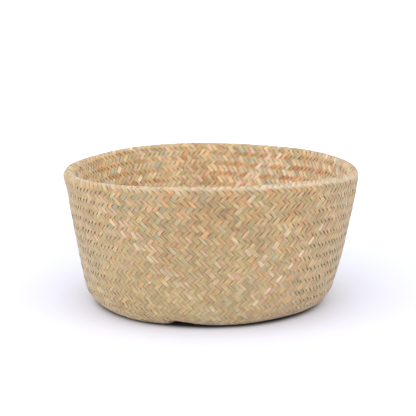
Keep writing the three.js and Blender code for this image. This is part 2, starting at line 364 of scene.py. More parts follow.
@dataclass
class PlaitLattice:
    """Where the strands of the twill lie, each of which crosses the base and climbs the wall at both ends.

    A strand is named by its side of the base's square and its place from the corner there. The places
    are counted in crossings, and a row is the height of one crossing diamond, one row of stitches.
    """

    surface: PlaitSurface
    rng: np.random.Generator
    per_side: int = 37
    sides: int = 4
    row_height: float = 0.0067
    square_rows: float = 5.5
    round_rows: float = 27.0
    uneven: float = 0.10
    jitter: float = 0.07
    swing: tuple[float, float] = (0.2, 1.3)
    nudge_reach: float = 0.016
    search: int = 4
    edges: np.ndarray = field(init=False)
    nudges: list[tuple[float, float, float, float, float]] = field(default_factory=list)

    def __post_init__(self) -> None:
        """Draw how far each edge between two strands lies from its even place."""
        count = self.per_side + 1
        swing = np.where(np.arange(count) % 2, 1.0, -1.0) * self.uneven
        swing = swing * self.rng.uniform(*self.swing, (self.sides, count))
        self.edges = swing + self.rng.normal(0.0, self.jitter, (self.sides, count))
        self.edges[:, 0] = 0.0
        self.edges[:, -1] = 0.0

    def settle(self, passages: list["Passage"]) -> None:
        """Let the nearest meeting of four strands move to each place where a cord goes through.

        Args:
            passages: those places.
        """
        profile = self.surface.profile
        for passage in passages:
            rows = passage.along / self.row_height
            radius = profile.at(np.array([passage.along]))[0][0]
            place = passage.turn * 2 / math.pi * self.per_side
            best = None
            near = range(-self.search, self.search + 1)
            for falling in (round(place + rows) + step for step in near):
                for rising in (round(place - rows) + step for step in near):
                    turn, along = self._locate(np.array([float(falling)]), np.array([float(rising)]))
                    around = math.remainder(turn[0] - passage.turn, FULL_TURN) * radius
                    off = math.hypot(around, along[0] - passage.along)
                    if best is None or off < best[0]:
                        best = (off, turn[0], along[0])
            _, at_turn, at_along = best
            off_turn = math.remainder(passage.turn - at_turn, FULL_TURN)
            self.nudges.append((at_turn, at_along, radius, off_turn, passage.along - at_along))

    def _uneven_place(self, place: np.ndarray, mirrored: bool) -> np.ndarray:
        """Move even places to the uneven ones of hand work.

        Args:
            place: places round the basket, counted in strands.
            mirrored: true for the strands that rise to the right.

        Returns:
            The moved places.
        """
        if mirrored:
            side = np.ceil(place / self.per_side) - 1
            within = (side + 1) * self.per_side - place
        else:
            side = np.floor(place / self.per_side)
            within = place - side * self.per_side
        index = np.clip(np.floor(within).astype(int), 0, self.per_side - 1)
        group = (side.astype(int)) % self.sides
        low = self.edges[group, index]
        high = self.edges[group, index + 1]
        shift = low + (high - low) * (within - index)
        return place - shift if mirrored else place + shift

    def locate(self, side: int, across: float, along: np.ndarray) -> tuple[np.ndarray, np.ndarray]:
        """Find a strand's places on the surface.

        Args:
            side: the strand's side of the base.
            across: its place from the corner, in strands, where half is the first one's middle.
            along: places along the strand, in crossings, from the corner line of the base. Negative ones
                climb to the left and positive ones to the right.

        Returns:
            Directions round the basket and arc lengths from the centre of the base.
        """
        place = np.full_like(along, across)
        left = along <= 0
        start, end = side * self.per_side, (side + 1) * self.per_side
        falling = np.where(left, start + place, end + along)
        rising = np.where(left, start + along, end - place)
        return self._locate(falling, rising)

    def _locate(self, falling: np.ndarray, rising: np.ndarray) -> tuple[np.ndarray, np.ndarray]:
        """Find where lines of the two hands cross.

        Args:
            falling: numbers of the lines that rise to the left, counted round the basket.
            rising: numbers of the lines that rise to the right.

        Returns:
            Directions round the basket and arc lengths from the centre of the base.
        """
        per = self.per_side
        falling = self._uneven_place(falling, False)
        rising = self._uneven_place(rising, True)
        rows = np.maximum((falling - rising) / 2, 1e-6)
        round_place = (falling + rising) / 2
        home = np.floor(round_place / per + 0.5)
        limit = np.minimum(rows, per / 2)
        share = np.clip((round_place - home * per) / limit, -1.0, 1.0)
        rounded = smooth_step(rows, self.square_rows, self.round_rows)
        stretch = np.sqrt(1.0 + share**2)
        turn = home * math.pi / 2 + (1 - rounded) * np.arctan(share) + rounded * share * math.pi / 4
        even = rows * self.row_height * (rounded + (1 - rounded) * stretch)
        turn, station = self.surface.drift(turn, even)
        for at_turn, at_station, radius, off_turn, off_station in self.nudges:
            around = around_from(turn, at_turn) * radius
            reach = np.exp(-(around**2 + (station - at_station) ** 2) / self.nudge_reach**2)
            turn = turn + off_turn * reach
            station = station + off_station * reach
        return turn, station

    def on_top(self, across_index: int, crossing: np.ndarray) -> np.ndarray:
        """Tell at which crossings a strand lies on the outer face.

        Args:
            across_index: the strand's number from the corner.
            crossing: middles of its crossings, at half places.

        Returns:
            1 where it lies on top and -1 where it lies under.
        """
        row = np.round(across_index + 0.5 + np.abs(crossing)).astype(int) % REPEAT
        over = np.where(crossing > 0, row < REPEAT // 2, row >= REPEAT // 2)
        return np.where(over, 1.0, -1.0)

    def cut(self, station: float, across_index: int, hand: Hand) -> int:
        """Find where a strand is parted near a station, so that the parting lies under others.

        Args:
            station: the station, as an arc length from the centre of the base.
            across_index: the strand's number from the corner.
            hand: which half of the strand.

        Returns:
            The place along that half, in crossings from the corner line, or 0 where it lies beyond.
        """
        rows = 2 * station / self.row_height
        near = REPEAT * round((rows - hand.hidden_row) / REPEAT) + hand.hidden_row
        return max(int(round(near - across_index - 0.5)), 0)


# Lengths of strand and yarn as meshes

@dataclass
class Ribbon:
    """One closed length of strand or ply, as rings of points with what its finish reads."""

    rings: np.ndarray
    tint: np.ndarray
    run: np.ndarray
    across: np.ndarray
    seed: float


FLAT_SECTION = np.array([
    (1.0, 0.0), (0.988, 0.62), (0.92, 1.0), (-0.92, 1.0), (-0.988, 0.62),
    (-1.0, 0.0), (-0.988, -0.62), (-0.92, -1.0), (0.92, -1.0), (0.988, -0.62),
])
FLAT_FACES = (2, 7)
ROUND_TURNS = np.linspace(0.0, FULL_TURN, 8, endpoint=False)
ROUND_SECTION = np.stack([np.cos(ROUND_TURNS), np.sin(ROUND_TURNS)], -1)


@dataclass
class RibbonMesh:
    """Joins ribbons into one mesh, with a strip of the baking map for each."""

    name: str
    flats: tuple[int, ...] = ()
    margin: float = 0.04
    ribbons: list[Ribbon] = field(default_factory=list)

    def add(self, ribbon: Ribbon) -> None:
        """Add one ribbon."""
        self.ribbons.append(ribbon)

    def build(self, material: bpy.types.Material) -> bpy.types.Object:
        """Make the object.

        Args:
            material: its finish.

        Returns:
            The new object, linked to the scene.
        """
        sides = self.ribbons[0].rings.shape[1]
        points = np.concatenate([r.rings.reshape(-1, 3) for r in self.ribbons])
        quads, caps, places = self._faces(sides)
        corners = np.concatenate([quads.ravel(), caps.ravel()])
        sizes = np.concatenate([np.full(len(quads), 4), np.full(len(caps), sides)])
        firsts = np.concatenate([[0], np.cumsum(sizes)[:-1]])
        mesh = bpy.data.meshes.new(self.name)
        mesh.vertices.add(len(points))
        mesh.vertices.foreach_set("co", points.astype(np.float32).ravel())
        mesh.loops.add(len(corners))
        mesh.loops.foreach_set("vertex_index", corners.astype(np.int32))
        mesh.polygons.add(len(sizes))
        mesh.polygons.foreach_set("loop_start", firsts.astype(np.int32))
        mesh.update(calc_edges=True)
        flat = mesh.attributes.new("sharp_face", "BOOLEAN", "FACE")
        crisp = np.tile(np.isin(np.arange(sides), self.flats), len(quads) // sides)
        flat.data.foreach_set("value", np.concatenate([crisp, np.ones(len(caps), bool)]))
        layer = mesh.uv_layers.new(name="OFBake")
        layer.uv.foreach_set("vector", places.astype(np.float32).ravel())
        self._write_finish(mesh, sides)
        mesh.materials.append(material)
        mesh.validate()
        piece = bpy.data.objects.new(self.name, mesh)
        bpy.context.scene.collection.objects.link(piece)
        return piece

    def _faces(self, sides: int) -> tuple[np.ndarray, np.ndarray, np.ndarray]:
        """List the faces, with a strip of the baking map for each ribbon, in even columns and rows.

        Args:
            sides: points in one ring.

        Returns:
            The walls' corners, the end caps' corners, and the place on the map of each corner.
        """
        ribbons = self.ribbons
        counts = [len(r.rings) for r in ribbons]
        starts = np.concatenate([[0], np.cumsum(counts)[:-1]]) * sides
        longest = max(r.run[-1] - r.run[0] for r in ribbons)
        girth = max(np.linalg.norm(np.roll(r.rings[0], -1, 0) - r.rings[0], axis=1).sum() for r in ribbons)
        columns = max(1, round(math.sqrt(len(ribbons) * girth / longest)))
        rows = math.ceil(len(ribbons) / columns)
        edge = np.arange(sides)
        after = (edge + 1) % sides
        inner = 1 - 2 * self.margin
        quads, maps, caps, cap_maps = [], [], [], []
        for number, (ribbon, start, count) in enumerate(zip(ribbons, starts, counts)):
            ring = np.arange(count - 1)[:, None] * sides + start
            around = [ring + edge, ring + after, ring + sides + after, ring + sides + edge]
            quads.append(np.stack(around, -1).reshape(-1, 4))
            column, row = divmod(number, rows)
            u = (column + ((ribbon.run - ribbon.run[0]) / longest * inner + self.margin)) / columns
            v_low = (row + self.margin + edge / sides * inner) / rows
            v_high = (row + self.margin + (edge + 1) / sides * inner) / rows
            grid = [np.broadcast_to(line, (count - 1, sides))
                    for line in (u[:-1, None], u[1:, None], v_low, v_high)]
            corners = [np.stack([grid[i], grid[j]], -1) for i, j in ((0, 2), (0, 3), (1, 3), (1, 2))]
            maps.append(np.stack(corners, -2).reshape(-1, 2))
            middle = (v_low + v_high) / 2
            tiny = self.margin / columns / 4
            for first, order, sign in ((start, edge[::-1], -1), (start + (count - 1) * sides, edge, 1)):
                caps.append(first + order)
                spread = sign * tiny * (1 + np.cos(FULL_TURN * order / sides))
                cap_maps.append(np.stack([(u[0] if sign < 0 else u[-1]) + spread, middle[order]], -1))
        return np.concatenate(quads), np.array(caps), np.concatenate(maps + cap_maps)

    def _write_finish(self, mesh: bpy.types.Mesh, sides: int) -> None:
        """Write each point's tint and its place in its strand's fibres.

        Args:
            mesh: the mesh being made.
            sides: points in one ring.
        """
        tint = np.concatenate([r.tint.reshape(-1, 3) for r in self.ribbons])
        tint = np.concatenate([tint, np.ones((len(tint), 1))], -1)
        colours = mesh.color_attributes.new(name="tint", type="FLOAT_COLOR", domain="POINT")
        colours.data.foreach_set("color", tint.astype(np.float32).ravel())
        fibre = np.concatenate([
            np.stack([np.repeat(r.run, sides), r.across.ravel(), np.full(r.across.size, r.seed)], -1)
            for r in self.ribbons
        ])
        vectors = mesh.attributes.new("fibre", "FLOAT_VECTOR", "POINT")
        vectors.data.foreach_set("vector", fibre.astype(np.float32).ravel())


# Colours of the strands

@dataclass(frozen=True)
class Straw:
    """A colour that seagrass dries to, and how often it turns up."""

    colour: tuple[float, float, float]
    share: float


STRAWS = (
    Straw((212, 184, 137), 0.30),
    Straw((206, 183, 131), 0.24),
    Straw((200, 185, 147), 0.10),
    Straw((217, 181, 144), 0.10),
    Straw((220, 176, 126), 0.14),
    Straw((230, 206, 168), 0.05),
    Straw((198, 164, 122), 0.06),
)


@dataclass
class StrandDye:
    """Gives each strand its own dried colour, which drifts along it."""

    rng: np.random.Generator
    drift: float = 0.022
    patch: float = 0.009
    turns_over: tuple[float, float] = (0.45, 0.85)
    uneven: float = 0.27
    uneven_rise: float = 0.30
    uneven_from: float = 0.9
    strand_light: float = 0.04
    colours: np.ndarray = field(init=False)
    shares: np.ndarray = field(init=False)
    common: np.ndarray = field(init=False)

    def __post_init__(self) -> None:
        """Work out the straws' linear colours and the common one."""
        self.colours = np.array([linear(s.colour) for s in STRAWS])
        self.shares = np.array([s.share for s in STRAWS]) / sum(s.share for s in STRAWS)
        self.common = self.shares @ self.colours

    def _wander(self, run: np.ndarray, step: float) -> np.ndarray:
        """Draw a smooth random course along a strand.

        Args:
            run: places along the strand, in metres.
            step: the length over which the course changes.

        Returns:
            Numbers from 0 to 1.
        """
        knots = self.rng.uniform(0.0, 1.0, int((run[-1] - run[0]) / step) + 3)
        place = (run - run[0]) / step
        index = np.floor(place).astype(int)
        share = smooth_step(place - index)
        return knots[index] * (1 - share) + knots[index + 1] * share

    def dye(self, run: np.ndarray, vivid: np.ndarray) -> np.ndarray:
        """Colour one whole strand.

        Args:
            run: places along the strand, in metres.
            vivid: how far its colour strays from the common one, at each place.

        Returns:
            A linear colour for each place.
        """
        first, second = self.rng.choice(len(self.colours), 2, p=self.shares)
        blend = smooth_step(self._wander(run, self.drift), *self.turns_over)[:, None]
        colour = self.colours[first] * (1 - blend) + self.colours[second] * blend
        colour = self.common + (colour - self.common) * vivid[:, None]
        uneven = self.uneven + self.uneven_rise * (vivid - self.uneven_from).clip(0.0, 1.0)
        light = 1.0 + uneven * (self._wander(run, self.patch) - 0.5)
        light = light + self.rng.normal(0.0, self.strand_light)
        return np.clip(colour * light[:, None], 0.0, 1.0)


# The weave and the plaited body

@dataclass(frozen=True)
class Zone:
    """A band of the plait that stands for one node of the frame, and the pieces that it is made in."""

    piece: str
    start: float
    end: float
    hands: tuple[Hand, ...]
    node: str
    slot: str


@dataclass(frozen=True)
class Passage:
    """A place where a cord goes through the turned-in wall and the strands are pushed aside."""

    turn: float
    along: float
    centre: np.ndarray
    radius: float


@dataclass(frozen=True)
class Fleck:
    """A stretch of one strand, rising to the left or right, that dried to a colour of its own."""

    turn: float
    along: float
    hand: Hand
    length: float
    colour: tuple[float, float, float]


@dataclass(frozen=True)
class Bundle:
    """A part of the plait where the strands that rise one way come from a bundle of one colour."""

    turn: float
    along: float
    hand: Hand
    width: float
    height: float
    colour: tuple[float, float, float]
    strength: float


@dataclass
class Strand:
    """One strand of the plait, with its colour and its chances along its whole length."""

    reach: int
    run: np.ndarray
    tint: np.ndarray
    thick: float
    fill: float
    roll: float
    seed: float
    parting: np.ndarray = field(init=False)


@dataclass
class StrandWeaver:
    """Lays the strands over and under one another and gathers them in bands.

    Lengths are in metres and places along a strand in crossings. Where a setting has two values, they
    are its start and its end, its value at the front and at the sides, or that outside and inside.
    """

    lattice: PlaitLattice
    dye: StrandDye
    rng: np.random.Generator
    passages: list[Passage]
    bundles: tuple[Bundle, ...]
    flecks: tuple[Fleck, ...]
    ring_places: tuple[float, ...] = (-0.2, 0.0, 0.2)
    probe: float = 0.12
    spare_rows: int = 6
    run_share: float = 0.75
    lift: float = 0.00048
    half_thickness: float = 0.00047
    camber: float = 0.00007
    dive_start: float = 0.26
    dive_narrowing: float = 0.02
    fill: float = 1.005
    fill_spread: float = 0.015
    thick: tuple[float, float] = (0.9, 1.08)
    roll: float = 0.06
    side: tuple[float, float] = (0.46, 0.96)
    parting: tuple[float, float] = (0.05, 1.6)
    parted_outside: tuple[float, float] = (0.06, 0.50)
    parted_inside: tuple[float, float] = (0.20, 0.42)
    parted_at_top: float = 0.11
    parted_at_base: float = 0.2
    parted_sharpness: int = 16
    heel_opens: tuple[float, float] = (-0.004, 0.007)
    crest_closed: float = 0.8
    crest_reach: float = 0.005
    # Painted shade: strands are darker at their edges, between neighbours, and on the face that lies under
    # other strands
    edge_from: float = 0.95
    edge_shade: tuple[float, float] = (0.30, 0.42)
    hidden_from: float = 0.45
    hidden_shade: float = 0.80
    outside_vivid: tuple[float, float] = (0.78, 1.04)
    side_vivid: float = 0.70
    inside_vivid: float = 1.45
    # Gains of the tint: outside, a small one by height; inside, a painted brightening, paler and bluer,
    # that stands for the light on the turned-in wall
    outside_tint_gain: tuple[tuple[float, ...], ...] = ((0.01, 0.035, 0.045), (0.05, 0.02, -0.03))
    inside_painted_light: tuple[float, float, float] = (0.30, 0.37, 0.58)
    fade: float = 0.006
    # Painted highlight: a narrow pale line drawn into the tint along the rim's crest, where the light from
    # above falls
    crest_highlight_share: float = 0.80
    crest_highlight_width: float = 0.0018
    crest_highlight_colour: tuple[float, float, float] = (240, 222, 200)
    bundle_share: tuple[float, float] = (0.2, 1.0)
    pushed_reach: float = 0.009
    pushed_within: float = 2.5
    pushed_beside: float = 1.1
    strands: dict[tuple[int, int], Strand] = field(default_factory=dict)

    def __post_init__(self) -> None:
        """Draw every strand's colour and chances."""
        for side in range(self.lattice.sides):
            for index in range(self.lattice.per_side):
                self.strands[side, index] = self._draw(side, index)
        for bundle in self.bundles:
            self._blend(bundle)
        for fleck in self.flecks:
            self._mark(fleck)
        for strand in self.strands.values():
            strand.parting = self.rng.uniform(*self.parting, 2 * strand.reach + 1)

    def _draw(self, side: int, index: int) -> Strand:
        """Draw one strand's colour, thickness and roll.

        Args:
            side: its side of the base.
            index: its number from the corner.

        Returns:
            The strand.
        """
        lattice, profile = self.lattice, self.lattice.surface.profile
        reach = int(2 * profile.end_at / lattice.row_height) + self.spare_rows - index
        along = self._rings(-reach, reach)
        run = along * lattice.row_height * self.run_share
        station = (index + 0.5 + np.abs(along)) * lattice.row_height / 2
        inside = smooth_step(station, profile.fold_at + self.fade, profile.inner_at + self.fade)
        rise = smooth_step(station, profile.fold_at / 2, profile.fold_at)
        turn = lattice.locate(side, index + 0.5, along)[0]
        at_side = smooth_step(np.abs(np.cos(turn)), *self.side)
        vivid = self._between(self.outside_vivid, rise) * self._between((1.0, self.side_vivid), at_side)
        vivid = vivid + (self.inside_vivid - vivid) * inside
        # Painted light: the turned-in wall's tint is brightened and made paler; outside it only gains a
        # little by height
        tint_gain_and_painted_light = self._between(self.outside_tint_gain, rise[:, None])
        tint_gain_and_painted_light = 1 + tint_gain_and_painted_light + (np.array(self.inside_painted_light) - tint_gain_and_painted_light) * inside[:, None]
        # Painted highlight along the crest: the tint is drawn towards a pale colour near the fold's middle
        to_crest = station - (profile.fold_at + profile.inner_at) / 2
        painted_highlight = self.crest_highlight_share * np.exp(-((to_crest / self.crest_highlight_width) ** 2))[:, None]
        return Strand(
            reach=reach,
            run=run,
            tint=self.dye.dye(run, vivid) * tint_gain_and_painted_light * (1 - painted_highlight) + linear(self.crest_highlight_colour) * painted_highlight,
            thick=self.rng.uniform(*self.thick),
            fill=self.rng.normal(0.0, self.fill_spread),
            roll=self.rng.normal(0.0, self.roll),
            seed=self.rng.uniform(0.0, SEED_SPAN),
        )

    def _blend(self, bundle: Bundle) -> None:
        """Draw the strands of a part towards its bundle's colour, each by its own share.

        Args:
            bundle: the bundle.
        """
        for (side, index), strand in self.strands.items():
            along = self._rings(-strand.reach, strand.reach)
            turn, station = self.lattice.locate(side, index + 0.5, along)
            around = around_from(turn, bundle.turn) / bundle.width
            share = np.exp(-around**4 - ((station - bundle.along) / bundle.height) ** 4)
            share = share * bundle.strength * self.rng.uniform(*self.bundle_share)
            share = share * (along * bundle.hand.value > 0)
            light = strand.tint.mean(-1, keepdims=True) / strand.tint.mean()
            strand.tint += share[:, None] * (linear(bundle.colour) * light - strand.tint)

    def _mark(self, fleck: Fleck) -> None:
        """Colour the stretch of strand that shows nearest to a fleck's place.

        Args:
            fleck: the fleck.
        """
        profile = self.lattice.surface.profile
        radius = profile.at(np.array([fleck.along]))[0][0]
        best = None
        for (side, index), strand in self.strands.items():
            along = self._rings(-strand.reach, strand.reach)
            turn, station = self.lattice.locate(side, index + 0.5, along)
            around = around_from(turn, fleck.turn) * radius
            shows = (along * fleck.hand.value > 0) & (self._level(index, along)[0] > 0.5)
            off = np.where(shows, np.hypot(around, station - fleck.along), math.inf)
            nearest = int(np.argmin(off))
            if best is None or off[nearest] < best[0]:
                best = (off[nearest], strand, nearest)
        _, strand, at = best
        dried = np.abs(strand.run - strand.run[at]) < fleck.length / 2
        strand.tint[dried] = linear(fleck.colour)

    @staticmethod
    def _between(ends: tuple[float, float] | tuple[tuple[float, ...], ...],
                 share: np.ndarray) -> np.ndarray:
        """Mix two settings by a share of the second."""
        return np.array(ends[0]) + (np.array(ends[1]) - np.array(ends[0])) * share

    def _rings(self, start: int, end: int) -> np.ndarray:
        """List the places of the rings of a length of strand, with one at each end."""
        places = (np.arange(start, end + 1)[:, None] + np.array(self.ring_places)).ravel()
        return places[(places >= start) & (places <= end)]

    def _level(self, index: int, along: np.ndarray) -> tuple[np.ndarray, np.ndarray]:
        """Find on which face a strand lies and how far it is through a dive.

        Args:
            index: the strand's number from the corner.
            along: places along it, in crossings.

        Returns:
            The level, from -1 on the inner face to 1 on the outer one, and the dive's share, from 0 on
            a float to 1 half way down.
        """
        before = np.floor(along - 0.5) + 0.5
        share = along - before
        first = self.lattice.on_top(index, before)
        second = self.lattice.on_top(index, before + 1)
        level = first + (second - first) * smooth_step(share, self.dive_start, 1 - self.dive_start)
        return level, np.where(first == second, 0.0, np.sin(math.pi * share))

    def _lift(self, index: int, along: np.ndarray) -> np.ndarray:
        """Find how high a strand's middle lies over the middle surface."""
        level, dive = self._level(index, along)
        return level * (self.lift + self.camber * (1 - dive))

    def _centre(self, side: int, index: int, along: np.ndarray) -> tuple[np.ndarray, np.ndarray]:
        """Find a strand's middle line in space and the outer face's direction there."""
        turn, station = self.lattice.locate(side, index + 0.5, along)
        return self.lattice.surface.place(turn, station, self._lift(index, along))

    def _part(self, middle: np.ndarray, side_way: np.ndarray, ahead: np.ndarray, half_width: np.ndarray,
              turned_in: np.ndarray) -> tuple[np.ndarray, np.ndarray]:
        """Push a strand aside from the cords that pass through the turned-in wall.

        Args:
            middle: the strand's middle line.
            side_way: directions across it.
            ahead: directions along it.
            half_width: half its width.
            turned_in: where the strand lies in the turned-in wall.

        Returns:
            How far the middle line moves across, and the new half width.
        """
        shift = np.zeros(len(middle))
        for passage in self.passages:
            offset = np.where(turned_in[:, None], middle - passage.centre, 1.0)
            away = np.linalg.norm(offset, axis=-1)
            if np.min(away) > self.pushed_within * self.pushed_reach:
                continue
            across = np.sum(offset * side_way, -1)
            beside = np.exp(-(np.sum(offset * ahead, -1) / (self.pushed_beside * passage.radius)) ** 2)
            sign = math.copysign(1.0, across[np.argmin(away)])
            near = np.maximum(np.abs(across) - half_width, 0.0)
            far = np.abs(across) + half_width
            push = passage.radius * beside
            near_push = push * np.exp(-near / self.pushed_reach)
            far_push = push * np.exp(-far / self.pushed_reach)
            shift = shift + sign * (near_push + far_push) / 2
            half_width = half_width - (near_push - far_push) / 2
        return shift, half_width

    def _parting(self, strand: Strand, along: np.ndarray, row: np.ndarray, middle: np.ndarray,
                 turned_in: np.ndarray, upper: np.ndarray) -> np.ndarray:
        """Find how much of its half width a strand leaves free beside its neighbours of one hand.

        Args:
            strand: the strand.
            along: places along it, in crossings.
            row: the rows that it passes there.
            middle: its middle line.
            turned_in: where it lies in the turned-in wall.
            upper: which points of its section face the strand before it.

        Returns:
            The share left free, by ring and point of the section.
        """
        profile = self.lattice.surface.profile
        turn = np.arctan2(middle[:, 1], middle[:, 0])
        station = row * self.lattice.row_height / 2
        faced = np.where(turned_in, 1.0, -1.0)
        at_side = smooth_step(faced * np.sign(along) * np.cos(turn), *self.side)
        at_top = self.parted_at_top * smooth_step(station, profile.fold_at / 2, profile.fold_at)
        outside = self._between(self.parted_outside, at_side) + at_top
        inside = self._between(self.parted_inside, at_side)
        free = np.interp(along, np.arange(-strand.reach, strand.reach + 1), strand.parting)
        free = free * np.where(turned_in, inside, outside)
        off_base = smooth_step(station - profile.heel_at, *self.heel_opens)
        free = free * self._between((self.parted_at_base, 1.0), off_base)
        to_crest = station - (profile.fold_at + profile.inner_at) / 2
        free = free * (1 - self.crest_closed * np.exp(-((to_crest / self.crest_reach) ** 2)))
        float_start = np.where(along > 0, 0.0, 2.0)
        phase = (row - float_start)[:, None] - upper
        return free[:, None] * np.cos(math.pi / REPEAT * phase) ** self.parted_sharpness

    def _paint_shade(self, tint: np.ndarray, level: np.ndarray, turned_in: np.ndarray) -> np.ndarray:
        """Paint shade on a strand's edges, where it meets its neighbours, and on the face that lies under
        them.

        Args:
            tint: its colour along it.
            level: the face of the plait that it lies on, from -1 to 1.
            turned_in: where it lies in the turned-in wall.

        Returns:
            The colours, by ring and point of the section.
        """
        across, up = FLAT_SECTION.T
        hidden = smooth_step(-level[:, None] * np.sign(up), self.hidden_from, 1.0)
        edge = np.where(turned_in, self.edge_shade[1], self.edge_shade[0])[:, None]
        edge = edge * (np.abs(across) > self.edge_from)
        return tint[:, None] * ((1 - self.hidden_shade * hidden) * (1 - edge))[..., None]

    def ribbon(self, side: int, index: int, start: int, end: int) -> Ribbon:
        """Shape one length of a strand.

        Args:
            side: the strand's side of the base.
            index: its number from the corner.
            start: where the length starts, in crossings.
            end: where it ends.

        Returns:
            The closed ribbon.
        """
        strand = self.strands[side, index]
        surface = self.lattice.surface
        along = self._rings(start, end)
        row = index + 0.5 + np.abs(along)
        turned_in = row * self.lattice.row_height / 2 > surface.profile.inner_at
        level, dive = self._level(index, along)
        centre, out = self._centre(side, index, along)
        tangent = unit(self._centre(side, index, along + self.probe)[0]
                       - self._centre(side, index, along - self.probe)[0])
        low, high = (surface.place(*self.lattice.locate(side, float(place), along), np.zeros_like(along))[0]
                     for place in (index, index + 1))
        middle = centre - self._lift(index, along)[:, None] * out
        sag = np.sum((middle - (low + high) / 2) * out, -1)
        flat_tangent = unit(tangent - out * np.sum(tangent * out, -1, keepdims=True))
        between = high - low
        spread = between - flat_tangent * np.sum(between * flat_tangent, -1, keepdims=True)
        half_width = np.linalg.norm(spread, axis=-1) / 2
        half_width = half_width * (self.fill + strand.fill - self.dive_narrowing * dive)
        side_way = unit(np.cross(tangent, out))
        shift, half_width = self._part(middle, side_way, flat_tangent, half_width, turned_in)
        centre = centre + shift[:, None] * side_way
        top_way = unit(np.cross(side_way, tangent))
        side_rolled = side_way * math.cos(strand.roll) + top_way * math.sin(strand.roll)
        top_rolled = top_way * math.cos(strand.roll) - side_way * math.sin(strand.roll)
        across, up = FLAT_SECTION[None, :, 0], FLAT_SECTION[None, :, 1]
        free = self._parting(strand, along, row, middle, turned_in, across > 0)
        reach = half_width[:, None] * (1 - free)
        thick = self.half_thickness * strand.thick
        offsets = (across * reach)[..., None] * side_rolled[:, None] \
            + (up * thick)[..., None] * top_rolled[:, None] \
            - (across**2 * sag[:, None])[..., None] * out[:, None]
        rings = centre[:, None] + offsets
        rings[..., 2] = np.maximum(rings[..., 2], 0.0)
        first = np.searchsorted(self._rings(-strand.reach, strand.reach), along[0] - 1e-9)
        span = slice(first, first + len(along))
        tint = self._paint_shade(strand.tint[span], level, turned_in)
        return Ribbon(rings, tint, strand.run[span], across * reach, strand.seed)

    def weave(self, zone: Zone, material: bpy.types.Material) -> bpy.types.Object:
        """Make the piece of one band.

        Args:
            zone: the band.
            material: its finish.

        Returns:
            The new object.
        """
        mesh = RibbonMesh(zone.piece, FLAT_FACES)
        for side, index in self.strands:
            low = {hand: self.lattice.cut(zone.start, index, hand) for hand in Hand}
            high = {hand: self.lattice.cut(zone.end, index, hand) for hand in Hand}
            if min(high.values()) <= 0:
                continue
            if zone.start > 0 and min(low.values()) > 0:
                for hand in zone.hands:
                    start, end = sorted((hand.value * low[hand], hand.value * high[hand]))
                    mesh.add(self.ribbon(side, index, start, end))
            elif len(zone.hands) == 2 or side % 2 == (zone.hands[0] is Hand.RISING_RIGHT):
                mesh.add(self.ribbon(side, index, -high[Hand.RISING_LEFT], high[Hand.RISING_RIGHT]))
        piece = mesh.build(material)
        log.info("%s: %d lengths of strand", zone.piece, len(mesh.ribbons))
        return piece


@dataclass
class BasketBody:
    """The plaited body: base, heel, outer wall, rim, turned-in wall and hem."""

    sizes: BasketSizes
    dents: tuple[Dent, ...]
    bundles: tuple[Bundle, ...]
    flecks: tuple[Fleck, ...]
    seed: int = 7
    surface: PlaitSurface = field(init=False)

    def __post_init__(self) -> None:
        """Shape the plait's middle surface."""
        self.surface = PlaitSurface(self.sizes, self.dents)

    def zones(self) -> list[Zone]:
        """List the bands, from the base to the hem.

        Returns:
            The bands.
        """
        profile = self.surface.profile
        wall_middle = (profile.wall_at + profile.fold_at) / 2
        hem_at = profile.edge_at - profile.sizes.hem_width
        inner_middle = (profile.inner_at + hem_at) / 2
        bands = [
            ("base_plait", 0.0, profile.heel_at, "base_mat", PLAIT_SLOT, True),
            ("heel_plait", profile.heel_at, profile.wall_at, "heel_band", PLAIT_SLOT, True),
            ("outer_wall_lower", profile.wall_at, wall_middle, "outer_wall", PLAIT_SLOT, True),
            ("outer_wall_upper", wall_middle, profile.fold_at, "outer_wall", PLAIT_SLOT, True),
            ("rim_plait", profile.fold_at, profile.inner_at, "rim_fold", INSIDE_SLOT, False),
            ("inner_wall_upper", profile.inner_at, inner_middle, "inner_wall", INSIDE_SLOT, True),
            ("inner_wall_lower", inner_middle, hem_at, "inner_wall", INSIDE_SLOT, True),
            ("hem_plait", hem_at, profile.end_at, "hem_border", INSIDE_SLOT, False),
        ]
        zones = []
        for name, start, end, node, slot, parted in bands:
            if parted:
                zones += [Zone(f"{name}_{hand.name.lower()}", start, end, (hand,), node, slot)
                          for hand in Hand]
            else:
                zones.append(Zone(name, start, end, tuple(Hand), node, slot))
        return zones

    def build(self, materials: dict[str, bpy.types.Material], passages: list[Passage]) -> None:
        """Weave every band and let it ride on the body.

        Args:
            materials: the finishes, by slot.
            passages: where the cords go through.
        """
        rng = np.random.default_rng(self.seed)
        lattice = PlaitLattice(self.surface, rng)
        lattice.settle(passages)
        weaver = StrandWeaver(lattice, StrandDye(rng), rng, passages, self.bundles, self.flecks)
        for zone in self.zones():
            piece = weaver.weave(zone, materials[zone.slot])
            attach(piece, BODY)
            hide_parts(zone.node)


# Cords and handles

@dataclass(frozen=True)
class CordLay:
    """How a cord is laid up: two plies of several yarns, twisted the other way."""

    radius: float
    plies: int = 2
    yarns: int = 5
    ply_pitch: float = 0.017
    ply_press: float = 0.96
    yarn_pitch: float = 0.010
    yarn_share: float = 0.215
    yarn_swell: float = 1.12
    lag: float = 0.12
    looseness: float = 0.05
    loose_run: tuple[float, float] = (0.004, 0.009)

    @property
    def yarn_radius(self) -> float:
        """Half the thickness of one yarn."""
        return self.radius * self.yarn_share


